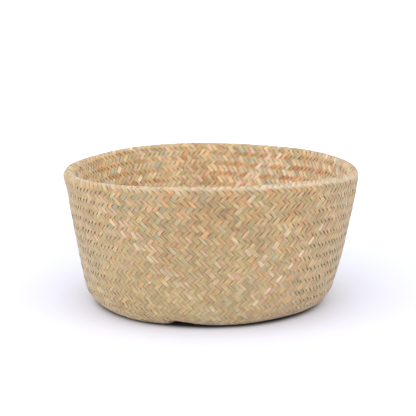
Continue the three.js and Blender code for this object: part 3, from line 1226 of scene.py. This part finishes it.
@dataclass
class CordMaker:
    """Winds cords, balls and knots of seagrass yarn into one mesh."""

    name: str
    dye: StrandDye
    rng: np.random.Generator
    step: float = 0.0011
    blunt: float = 0.04
    fibre_slant: float = 0.12
    upright_from: float = 0.9
    ball_poles: tuple[float, float] = (0.03, 0.97)
    ball_pitch: float = 1.7
    ball_steps: int = 24
    core_steps: int = 9
    core_fill: float = 0.9
    ball_aside: tuple[float, float, float] = (0.31, 0.2, 0.93)
    knot_winds: tuple[int, int] = (2, 3)
    knot_steps: int = 180
    knot_aside: tuple[float, float, float] = (0.1, 0.2, 0.97)
    mesh: RibbonMesh = field(init=False)

    def __post_init__(self) -> None:
        """Start an empty piece."""
        self.mesh = RibbonMesh(self.name)

    def _frames(self, path: np.ndarray) -> tuple[np.ndarray, np.ndarray, np.ndarray]:
        """Carry two directions along a path without twisting them.

        Args:
            path: the path's points.

        Returns:
            The tangents and the two directions across.
        """
        tangent = unit(np.gradient(path, axis=0))
        upright = abs(tangent[0][2]) >= self.upright_from
        first = np.empty_like(path)
        current = unit(np.cross(tangent[0], (1.0, 0.0, 0.0) if upright else (0.0, 0.0, 1.0)))
        for number, way in enumerate(tangent):
            current = unit(current - way * np.dot(current, way))
            first[number] = current
        return tangent, first, np.cross(tangent, first)

    def _resample(self, path: np.ndarray, step: float) -> tuple[np.ndarray, np.ndarray]:
        """Space a path's points evenly.

        Args:
            path: the path's points.
            step: the spacing wanted.

        Returns:
            The new points and the length along the path at each.
        """
        length = np.concatenate([[0.0], np.cumsum(np.linalg.norm(np.diff(path, axis=0), axis=1))])
        at = np.linspace(0.0, length[-1], max(int(length[-1] / step), 2) + 1)
        return np.stack([np.interp(at, length, path[:, axis]) for axis in range(3)], -1), at

    def yarn(self, path: np.ndarray, radius: float) -> None:
        """Add one yarn with rounded ends along a path.

        Args:
            path: its middle line.
            radius: half its thickness.
        """
        points, run = self._resample(path, self.step)
        _, first, second = self._frames(points)
        end = np.minimum(run, run[-1] - run) / radius
        taper = np.sqrt(np.clip(1 - (1 - np.clip(end, 0.0, 1.0)) ** 2, self.blunt, 1.0)) * radius
        across, up = ROUND_SECTION[None, :, :1], ROUND_SECTION[None, :, 1:]
        rings = points[:, None] + taper[:, None, None] * (across * first[:, None] + up * second[:, None])
        tint = np.repeat(self.dye.dye(run, np.ones_like(run))[:, None], len(ROUND_SECTION), 1)
        around = np.broadcast_to(np.sin(ROUND_TURNS) * radius, rings.shape[:2])
        around = around + run[:, None] * self.fibre_slant
        self.mesh.add(Ribbon(rings, tint, run, around, self.rng.uniform(0.0, SEED_SPAN)))

    def cord(self, path: np.ndarray, lay: CordLay) -> None:
        """Lay up a cord along a path.

        Args:
            path: its middle line.
            lay: how it is laid up.
        """
        points, run = self._resample(path, self.step)
        _, first, second = self._frames(points)
        ply_radius = lay.radius / 2
        yarn_offset = ply_radius - lay.yarn_radius
        for ply in range(lay.plies):
            turn = FULL_TURN * (run / lay.ply_pitch + ply / lay.plies)
            out = np.cos(turn)[:, None] * first + np.sin(turn)[:, None] * second
            ply_path = points + ply_radius * lay.ply_press * out
            _, ply_first, ply_second = self._frames(ply_path)
            for number in range(lay.yarns):
                lag = self.rng.normal(0.0, lay.lag)
                spin = -FULL_TURN * (run / lay.yarn_pitch + number / lay.yarns) + lag
                way = np.cos(spin)[:, None] * ply_first + np.sin(spin)[:, None] * ply_second
                loose = 1 + lay.looseness * np.sin(run / self.rng.uniform(*lay.loose_run) + number)
                yarn_path = ply_path + yarn_offset * loose[:, None] * way
                self.yarn(yarn_path, lay.yarn_radius * lay.yarn_swell)

    @staticmethod
    def _around_axis(axis: np.ndarray, aside: tuple[float, float, float]) -> tuple[np.ndarray, ...]:
        """Set up two directions across an axis.

        Args:
            axis: the axis.
            aside: any direction that isn't along it.

        Returns:
            The axis with length one, and the two directions.
        """
        axis = unit(axis)
        first = unit(np.cross(axis, aside))
        return axis, first, np.cross(axis, first)

    def ball(self, centre: np.ndarray, axis: np.ndarray, radius: float, yarn_radius: float) -> None:
        """Wind a yarn over a ball, from pole to pole.

        Args:
            centre: the ball's middle.
            axis: the direction of its poles.
            radius: its outer radius.
            yarn_radius: half the yarn's thickness.
        """
        axis, first, second = self._around_axis(axis, self.ball_aside)
        inner = radius - yarn_radius
        turns = math.ceil(math.pi * inner / (self.ball_pitch * yarn_radius))
        share = np.linspace(*self.ball_poles, turns * self.ball_steps)
        polar, spin = share * math.pi, share * turns * FULL_TURN
        out = np.cos(spin)[:, None] * first + np.sin(spin)[:, None] * second
        path = centre + (np.sin(polar) * inner)[:, None] * out + (np.cos(polar) * inner)[:, None] * axis
        self.yarn(path, yarn_radius)
        core = np.linspace(-1.0, 1.0, self.core_steps)[:, None] * axis * (inner - yarn_radius) + centre
        self.yarn(core, inner * self.core_fill)

    def knot(self, centre: np.ndarray, axis: np.ndarray, width: float, depth: float, lay: CordLay) -> None:
        """Tie a round knot of cord.

        Args:
            centre: the knot's middle.
            axis: the direction of its depth.
            width: its width.
            depth: its depth.
            lay: how its cord is laid up.
        """
        axis, first, second = self._around_axis(axis, self.knot_aside)
        bend = depth / 2 - lay.radius
        ring = width / 2 - lay.radius - bend
        turn = np.linspace(0.0, FULL_TURN, self.knot_steps)
        around, over = self.knot_winds[0] * turn, self.knot_winds[1] * turn
        out = np.cos(around)[:, None] * first + np.sin(around)[:, None] * second
        path = centre + (ring + bend * np.cos(over))[:, None] * out + (bend * np.sin(over))[:, None] * axis
        self.cord(path, lay)

    def build(self, material: bpy.types.Material, body: str, node: str) -> None:
        """Finish the piece and let it stand for its node.

        Args:
            material: its finish.
            body: the body that it rides on.
            node: the frame's node.
        """
        piece = self.mesh.build(material)
        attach(piece, body)
        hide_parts(node)
        log.info("%s: %d yarns", piece.name, len(self.mesh.ribbons))


class HandleSide(Enum):
    """The side of the basket on which a handle hangs."""

    LEFT = "left"
    RIGHT = "right"

    @property
    def sign(self) -> int:
        """-1 on the left and 1 on the right."""
        return 1 if self is HandleSide.RIGHT else -1


class TieEnd(Enum):
    """The end of a handle's cord that is tied."""

    FRONT = "front"
    BACK = "back"

    @property
    def sign(self) -> int:
        """-1 at the front and 1 at the back."""
        return 1 if self is TieEnd.BACK else -1


@dataclass
class CordHandle:
    """One cord handle: the loop that hangs inside, and its two ends tied through the turned-in wall."""

    side: HandleSide
    surface: PlaitSurface
    sizes: CordSizes
    loop_steps: int = 160
    tie_steps: int = 20
    tie_start: float = 0.0004
    seat_yarn: float = 0.0008
    knot_cord: float = 0.29
    name: str = field(init=False)
    lift: float = field(init=False)
    tie_at: float = field(init=False)
    ends: dict[TieEnd, np.ndarray] = field(init=False)
    tip: float = field(init=False)
    drop: float = field(init=False)
    pivot: np.ndarray = field(init=False)

    def __post_init__(self) -> None:
        """Find the handle's pivot, its two ends and how far it hangs down."""
        profile, sizes, sign = self.surface.profile, self.sizes, self.side.sign
        plait = profile.sizes.plait_thickness
        self.name = f"handle_{self.side.value}"
        self.lift = sizes.pivot_lift(plait)
        self.tie_at = profile.free_edge_at - sizes.inset
        self.ends = {end: self._pivot(end) for end in TieEnd}
        pivot = self.ends[TieEnd.BACK]
        radius, height = profile.inner_line(profile.free_edge_at, self.lift)
        edge = self.surface.warp(np.array(radius), np.array(height), self._turn(radius, TieEnd.BACK))
        self.tip = math.atan2(sign * (pivot[0] - edge[0]), pivot[2] - edge[2]) * sign
        self.drop = (pivot[2] - plait - sizes.floor_gap - sizes.cord / 2) / math.cos(self.tip)
        self.pivot = np.array([pivot[0], 0.0, pivot[2]])

    def _turn(self, radius: float, end: TieEnd) -> np.ndarray:
        """Find the direction in which a ring lies half a span from the middle."""
        swing = math.asin(self.sizes.span / 2 / radius) * end.sign
        return np.array(swing if self.side is HandleSide.RIGHT else math.pi - swing)

    def _pivot(self, end: TieEnd) -> np.ndarray:
        """Find the loop's end at the front or the back."""
        radius, height = self.surface.profile.inner_line(self.tie_at, self.lift)
        return self.surface.warp(np.array(radius), np.array(height), self._turn(radius, end))

    def _way_out(self, end: TieEnd) -> np.ndarray:
        """Find the direction from a loop's end through the wall.

        Args:
            end: the front or the back end.

        Returns:
            The direction, with length one.
        """
        profile = self.surface.profile
        turn = float(self._turn(profile.inner_line(self.tie_at, self.lift)[0], end))
        flat = math.cos(profile.lean)
        return np.array([math.cos(turn) * flat, math.sin(turn) * flat, -math.sin(profile.lean)])

    def passages(self) -> list[Passage]:
        """List the two places where the cord goes through the wall.

        Returns:
            The front one and the back one.
        """
        radius = self.surface.profile.inner_line(self.tie_at, self.lift)[0]
        found = []
        for end, pivot in self.ends.items():
            centre = pivot + self._way_out(end) * self.lift
            turn = float(self._turn(radius, end))
            found.append(Passage(turn, self.tie_at, centre, self.sizes.tie_cord / 2))
        return found

    def build(self, material: bpy.types.Material, dye: StrandDye, rng: np.random.Generator) -> None:
        """Make the loop and the two ties.

        Args:
            material: the cord's finish.
            dye: the yarns' colours.
            rng: the seeded generator.
        """
        sizes = self.sizes
        turn = np.linspace(0.0, math.pi, self.loop_steps)
        hang = np.array([-math.sin(self.tip), 0.0, -math.cos(self.tip)]) * self.drop
        path = self.pivot + np.sin(turn)[:, None] * hang
        path[:, 1] += sizes.span / 2 * np.cos(turn)
        loop = CordMaker(f"{self.name}_loop_cord", dye, rng)
        loop.cord(path, CordLay(sizes.cord / 2))
        for pivot in self.ends.values():
            loop.ball(pivot, hang, sizes.cord / 2, self.seat_yarn)
        loop.build(material, self.name, f"{self.name}_loop")
        for end in TieEnd:
            self._tie(end, material, dye, rng)

    def _tie(self, end: TieEnd, material: bpy.types.Material, dye: StrandDye,
             rng: np.random.Generator) -> None:
        """Draw one end of the cord through the wall and knot it behind.

        Args:
            end: the front or the back end.
            material: the cord's finish.
            dye: the yarns' colours.
            rng: the seeded generator.
        """
        sizes, plaited = self.sizes, self.surface.profile.sizes
        plait = plaited.plait_thickness
        start = sizes.cord / 2 + sizes.seat_gap
        shoulder = sizes.wall_to_pivot(plait) + plait + sizes.seat_gap
        depth = plaited.rim_width - 2 * plait - sizes.seat_gap - sizes.knot_spare
        node = f"{self.name}_tie_{end.value}"
        pivot, way = self.ends[end], self._way_out(end)
        tie = CordMaker(f"{node}_cord", dye, rng)
        reach = np.linspace(start + self.tie_start, shoulder + depth / 2, self.tie_steps)[:, None]
        tie.cord(pivot + reach * way, CordLay(sizes.tie_cord / 2))
        middle = pivot + way * (shoulder + depth / 2)
        tie.knot(middle, way, sizes.knot_diameter, depth, CordLay(depth * self.knot_cord))
        tie.build(material, BODY, node)


# Finishes

@dataclass(frozen=True)
class NodeBench:
    """Places the nodes of one tree and joins their sockets."""

    tree: bpy.types.NodeTree

    def node(self, kind: str, given: dict[str | int, object]) -> bpy.types.Node:
        """Place a node and fill its sockets.

        Args:
            kind: the node's type.
            given: what its inputs take: another node's socket, or a value.

        Returns:
            The new node.
        """
        return self.fill(self.tree.nodes.new(kind), given)

    def fill(self, node: bpy.types.Node, given: dict[str | int, object]) -> bpy.types.Node:
        """Fill a node's sockets.

        Args:
            node: the node.
            given: what its inputs take: another node's socket, or a value.

        Returns:
            The same node.
        """
        for name, value in given.items():
            if isinstance(value, bpy.types.NodeSocket):
                self.tree.links.new(value, node.inputs[name])
            else:
                node.inputs[name].default_value = value
        return node

    def attribute(self, name: str, output: str) -> bpy.types.NodeSocket:
        """Read what the mesh holds under a name.

        Args:
            name: the name.
            output: which of the node's outputs is wanted.

        Returns:
            The output.
        """
        node = self.node("ShaderNodeAttribute", {})
        node.attribute_name = name
        return node.outputs[output]

    def sum_up(self, operation: str, *values: object) -> bpy.types.NodeSocket:
        """Work out a number.

        Args:
            operation: what is done to the values.
            values: sockets or numbers.

        Returns:
            The result.
        """
        node = self.node("ShaderNodeMath", dict(enumerate(values)))
        node.operation = operation
        return node.outputs[0]

    def vector(self, operation: str, given: dict[str | int, object],
               output: str = "Vector") -> bpy.types.NodeSocket:
        """Work out a colour or a vector.

        Args:
            operation: what is done to the inputs.
            given: what the inputs take.
            output: which of the node's outputs is wanted.

        Returns:
            The result.
        """
        node = self.node("ShaderNodeVectorMath", {})
        node.operation = operation
        return self.fill(node, given).outputs[output]

    def ranged(self, value: bpy.types.NodeSocket, span: tuple[float, float], result: tuple[float, float],
               kind: str = "LINEAR") -> bpy.types.NodeSocket:
        """Map a number from one range to another.

        Args:
            value: the number.
            span: the range that it comes from.
            result: the range that it goes to.
            kind: how it moves between the ends.

        Returns:
            The result.
        """
        given = dict(zip(("From Min", "From Max", "To Min", "To Max"), (*span, *result)))
        node = self.node("ShaderNodeMapRange", {"Value": value} | given)
        node.interpolation_type = kind
        return node.outputs["Result"]


@dataclass(frozen=True)
class FibreNoise:
    """A noise drawn out along the strand: its scale, its detail, its range and the light that it gives."""

    scale: tuple[float, float, float]
    detail: float
    span: tuple[float, float]
    light: tuple[float, float]


@dataclass(frozen=True)
class SeagrassFibres:
    """The shared group that draws fibres along a strand."""

    broad: FibreNoise = FibreNoise((38.0, 600.0, 1.0), 1.0, (0.28, 0.72), (0.84, 1.13))
    fine: FibreNoise = FibreNoise((90.0, 2000.0, 1.0), 2.0, (0.3, 0.7), (0.88, 1.12))
    blotch: FibreNoise = FibreNoise((170.0, 300.0, 1.0), 3.0, (0.3, 0.75), (0.94, 1.06))
    rough_span: tuple[float, float] = (0.3, 0.7)
    rougher: tuple[float, float] = (-0.08, 0.10)
    broad_height: float = 0.6
    sockets: tuple[tuple[str, str, str], ...] = (
        ("Tint", "NodeSocketColor", "INPUT"),
        ("Place", "NodeSocketVector", "INPUT"),
        ("Warmth", "NodeSocketColor", "INPUT"),
        ("Roughness", "NodeSocketFloat", "INPUT"),
        ("Color", "NodeSocketColor", "OUTPUT"),
        ("Roughness", "NodeSocketFloat", "OUTPUT"),
        ("Height", "NodeSocketFloat", "OUTPUT"),
    )

    def build(self) -> bpy.types.NodeTree:
        """Build the group.

        Returns:
            The node group, with a colour, a roughness and a height.
        """
        group = bpy.data.node_groups.new("SeagrassFibres", "ShaderNodeTree")
        for name, kind, way in self.sockets:
            group.interface.new_socket(name, in_out=way, socket_type=kind)
        bench = NodeBench(group)
        given = bench.node("NodeGroupInput", {}).outputs
        broad, fine, blotch = (self._noise(bench, given["Place"], noise)
                               for noise in (self.broad, self.fine, self.blotch))
        colour = bench.vector("MULTIPLY", {0: given["Tint"], 1: given["Warmth"]})
        for value, noise in ((broad, self.broad), (fine, self.fine), (blotch, self.blotch)):
            light = bench.ranged(value, noise.span, noise.light)
            colour = bench.vector("SCALE", {0: colour, "Scale": light})
        rougher = bench.ranged(blotch, self.rough_span, self.rougher)
        bench.node("NodeGroupOutput", {
            "Color": colour,
            "Roughness": bench.sum_up("ADD", given["Roughness"], rougher),
            "Height": bench.sum_up("MULTIPLY_ADD", broad, self.broad_height, fine),
        })
        return group

    @staticmethod
    def _noise(bench: NodeBench, place: bpy.types.NodeSocket, noise: FibreNoise) -> bpy.types.NodeSocket:
        """Place one noise.

        Args:
            bench: where the group's nodes are placed.
            place: the place in a strand's fibres.
            noise: what is drawn.

        Returns:
            The noise's value.
        """
        stretched = bench.node("ShaderNodeMapping", {"Vector": place, "Scale": noise.scale})
        given = {"Vector": stretched.outputs["Vector"], "Scale": 1.0, "Detail": noise.detail}
        return bench.node("ShaderNodeTexNoise", given).outputs["Fac"]


@dataclass(frozen=True)
class SeagrassFinish:
    """Dry seagrass: the strand's own tint with fine fibres along it."""

    name: str
    warmth: tuple[float, float, float]
    roughness: float
    fibre_depth: float
    specular: float = 0.5
    sheen: float = 0.5
    sheen_roughness: float = 0.4

    def build(self, fibres: bpy.types.NodeTree) -> bpy.types.Material:
        """Make the material.

        Args:
            fibres: the shared node group of fibres.

        Returns:
            The new material.
        """
        material = bpy.data.materials.new(self.name)
        material.use_nodes = True
        bench = NodeBench(material.node_tree)
        group = bench.node("ShaderNodeGroup", {})
        group.node_tree = fibres
        streaks = bench.fill(group, {
            "Tint": bench.attribute("tint", "Color"),
            "Place": bench.attribute("fibre", "Vector"),
            "Roughness": self.roughness,
            "Warmth": (*self.warmth, 1.0),
        }).outputs
        bump = bench.node("ShaderNodeBump", {"Distance": self.fibre_depth, "Height": streaks["Height"]})
        bench.fill(material.node_tree.nodes["Principled BSDF"], {
            "Base Color": streaks["Color"],
            "Roughness": streaks["Roughness"],
            "Normal": bump.outputs["Normal"],
            "Specular IOR Level": self.specular,
            "Sheen Weight": self.sheen,
            "Sheen Roughness": self.sheen_roughness,
        })
        return material


# Studio

@dataclass(frozen=True)
class SoftLamp:
    """A soft square lamp that looks at the basket, with its place and width in metres and its watts."""

    name: str
    place: tuple[float, float, float]
    width: float
    power: float


@dataclass(frozen=True)
class GlowRing:
    """A ring of the floor over which its glow grows: where it starts and ends, and by how much."""

    near: float
    far: float
    rise: float


@dataclass(frozen=True)
class Studio:
    """The pale floor, the soft light and the camera."""

    camera_place: tuple[float, float, float] = (-0.0005, -1.45, 0.389)
    pitch: float = math.radians(10.814)
    focal_pixels: float = 1208.5
    frame_pixels: int = 416
    sensor: float = 36.0
    sight: float = 200.0
    lamps: tuple[SoftLamp, ...] = (
        SoftLamp("front", (-0.2, -2.0, 1.3), 1.6, 9.5),
        SoftLamp("above", (0.0, -0.3, 2.2), 2.0, 17.4),
        SoftLamp("left", (-1.9, -0.6, 0.9), 1.4, 7.6),
        SoftLamp("right", (1.9, -0.6, 0.9), 1.4, 5.5),
    )
    lamp_aim: tuple[float, float, float] = (0.0, 0.0, 0.08)
    even_light: float = 0.5
    floor_half: float = 30.0
    floor_colour: tuple[float, float, float] = (0.86, 0.88, 0.99)
    floor_roughness: float = 0.6
    floor_specular: float = 0.2
    # Painted shadow: the floor's colour is darkened in a ring under the heel
    painted_heel_shadow: GlowRing = GlowRing(0.128, 0.139, 0.15)
    # Painted glow of the floor, seen only by the camera, growing with the distance from the basket's axis
    glow_colour: tuple[float, float, float] = (0.90, 0.905, 1.04)
    glow_rings: tuple[GlowRing, ...] = (
        GlowRing(0.135, 0.144, 0.165), GlowRing(0.144, 0.20, 0.070),
        GlowRing(0.26, 0.76, 0.27), GlowRing(0.4, 2.5, 0.5),
    )

    def build(self) -> None:
        """Set up the camera, the floor, the lamps and the world."""
        self._camera()
        self._floor()
        for lamp in self.lamps:
            self._hang(lamp)
        self._world()

    def _camera(self) -> None:
        """Put the camera where the view was taken from."""
        data = bpy.data.cameras.new("view")
        data.sensor_width = self.sensor
        data.lens = self.sensor * self.focal_pixels / self.frame_pixels
        data.clip_end = self.sight
        camera = bpy.data.objects.new("view", data)
        camera.location = self.camera_place
        camera.rotation_euler = (math.pi / 2 - self.pitch, 0.0, 0.0)
        bpy.context.scene.collection.objects.link(camera)
        bpy.context.scene.camera = camera

    def _hang(self, lamp: SoftLamp) -> None:
        """Hang one soft lamp.

        Args:
            lamp: the lamp.
        """
        data = bpy.data.lights.new(lamp.name, "AREA")
        data.size = lamp.width
        data.energy = lamp.power
        hung = bpy.data.objects.new(lamp.name, data)
        hung.location = lamp.place
        way = Vector(self.lamp_aim) - Vector(lamp.place)
        hung.rotation_euler = way.to_track_quat("-Z", "Y").to_euler()
        bpy.context.scene.collection.objects.link(hung)

    def _world(self) -> None:
        """Light the scene evenly and show white behind it."""
        world = bpy.data.worlds.new("studio")
        world.use_nodes = True
        bench = NodeBench(world.node_tree)
        path = bench.node("ShaderNodeLightPath", {}).outputs
        seen = bench.sum_up("MAXIMUM", path["Is Camera Ray"], path["Is Glossy Ray"])
        bench.fill(world.node_tree.nodes["Background"], {
            "Color": (1.0, 1.0, 1.0, 1.0),
            "Strength": bench.ranged(seen, (0.0, 1.0), (self.even_light, 1.0)),
        })
        bpy.context.scene.world = world

    def _floor(self) -> None:
        """Lay the pale floor, with a painted shadow under the heel, and a painted glow that only the camera
        sees and that brightens it to white away from the basket.
        """
        half = self.floor_half
        corners = [(-half, -half, 0), (half, -half, 0), (half, half, 0), (-half, half, 0)]
        mesh = bpy.data.meshes.new("floor")
        mesh.from_pydata(corners, [], [(0, 1, 2, 3)])
        floor = bpy.data.objects.new("floor", mesh)
        bpy.context.scene.collection.objects.link(floor)
        material = bpy.data.materials.new("floor")
        material.use_nodes = True
        bench = NodeBench(material.node_tree)
        place = bench.node("ShaderNodeNewGeometry", {}).outputs["Position"]
        away = bench.vector("LENGTH", {0: place}, "Value")
        glow = None
        for ring in self.glow_rings:
            step = bench.ranged(away, (ring.near, ring.far), (0.0, ring.rise), "SMOOTHSTEP")
            glow = step if glow is None else bench.sum_up("ADD", glow, step)
        seen = bench.node("ShaderNodeLightPath", {}).outputs["Is Camera Ray"]
        # Painted shadow under the heel, in the floor's colour
        shade = self.painted_heel_shadow
        painted_shadow_scale = bench.ranged(away, (shade.near, shade.far), (shade.rise, 1.0), "SMOOTHSTEP")
        bench.fill(material.node_tree.nodes["Principled BSDF"], {
            "Base Color": bench.vector("SCALE", {0: self.floor_colour, "Scale": painted_shadow_scale}),
            "Roughness": self.floor_roughness,
            "Specular IOR Level": self.floor_specular,
            "Emission Color": (*self.glow_colour, 1.0),
            "Emission Strength": bench.sum_up("MULTIPLY", glow, seen),
        })
        mesh.materials.append(material)
        log.info("floor: %.0f m across", 2 * half)


# The three finishes, by the slots of the frame
FINISHES = (
    SeagrassFinish(PLAIT_SLOT, (1.0, 1.0, 1.0), 0.62, 0.00012),
    SeagrassFinish(INSIDE_SLOT, (1.0, 1.0, 1.0), 0.60, 0.00012),
    SeagrassFinish(CORD_SLOT, (0.95, 0.92, 0.85), 0.68, 0.0002),
)

# The small fold under the front, the soft heel at both sides of it, and the right wall's swell
DENTS = (
    Dent(math.radians(-107.5), 0.0, 0.030, 0.22, 0.012, rise=0.0042),
    Dent(math.radians(-124.0), 0.012, 0.34, 0.20, 0.024, push=0.0050),
    Dent(math.radians(-52.0), 0.012, 0.30, 0.26, 0.024, push=-0.0030),
    Dent(math.radians(-3.0), 0.058, 0.35, 0.35, 0.026, push=0.0014),
)

# Areas with strands of one colour: two at the back inside, and one at the front outside
BUNDLES = (
    Bundle(math.radians(58.0), 0.345, Hand.RISING_RIGHT, 0.62, 0.030, (206, 145, 98), 0.95),
    Bundle(math.radians(58.0), 0.345, Hand.RISING_LEFT, 0.62, 0.030, (222, 212, 184), 0.6),
    Bundle(math.radians(138.0), 0.345, Hand.RISING_LEFT, 0.50, 0.030, (210, 154, 96), 0.75),
    Bundle(math.radians(138.0), 0.345, Hand.RISING_RIGHT, 0.50, 0.030, (222, 214, 178), 0.5),
    Bundle(math.radians(-98.0), 0.250, Hand.RISING_RIGHT, 0.25, 0.060, (208, 168, 122), 0.6),
)

# Single stretches that dried paler or redder than the rest
FLECKS = (
    Fleck(math.radians(-56.5), 0.2100, Hand.RISING_RIGHT, 0.150, (255, 226, 190)),
    Fleck(math.radians(-115.4), 0.1925, Hand.RISING_LEFT, 0.005, (244, 238, 224)),
    Fleck(math.radians(-124.0), 0.2640, Hand.RISING_LEFT, 0.100, (236, 192, 156)),
    Fleck(math.radians(99.2), 0.3429, Hand.RISING_LEFT, 0.060, (224, 168, 120)),
    Fleck(math.radians(94.5), 0.3418, Hand.RISING_LEFT, 0.060, (222, 172, 126)),
    Fleck(math.radians(115.6), 0.3589, Hand.RISING_LEFT, 0.020, (220, 166, 136)),
    Fleck(math.radians(152.0), 0.3230, Hand.RISING_LEFT, 0.030, (214, 158, 104)),
)


def main() -> None:
    """Build the studio and the basket."""
    logging.basicConfig(level=logging.INFO, format="%(name)s: %(message)s")
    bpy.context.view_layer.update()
    Studio().build()
    fibres = SeagrassFibres().build()
    materials = {finish.name: finish.build(fibres) for finish in FINISHES}
    body = BasketBody(BasketSizes(), DENTS, BUNDLES, FLECKS)
    handles = [CordHandle(side, body.surface, CordSizes()) for side in HandleSide]
    body.build(materials, [passage for handle in handles for passage in handle.passages()])
    rng = np.random.default_rng(CORD_SEED)
    for handle in handles:
        handle.build(materials[CORD_SLOT], StrandDye(rng), rng)
    bpy.context.scene.view_settings.view_transform = "Standard"
    bpy.context.view_layer.update()


if __name__ == "__main__":
    main()
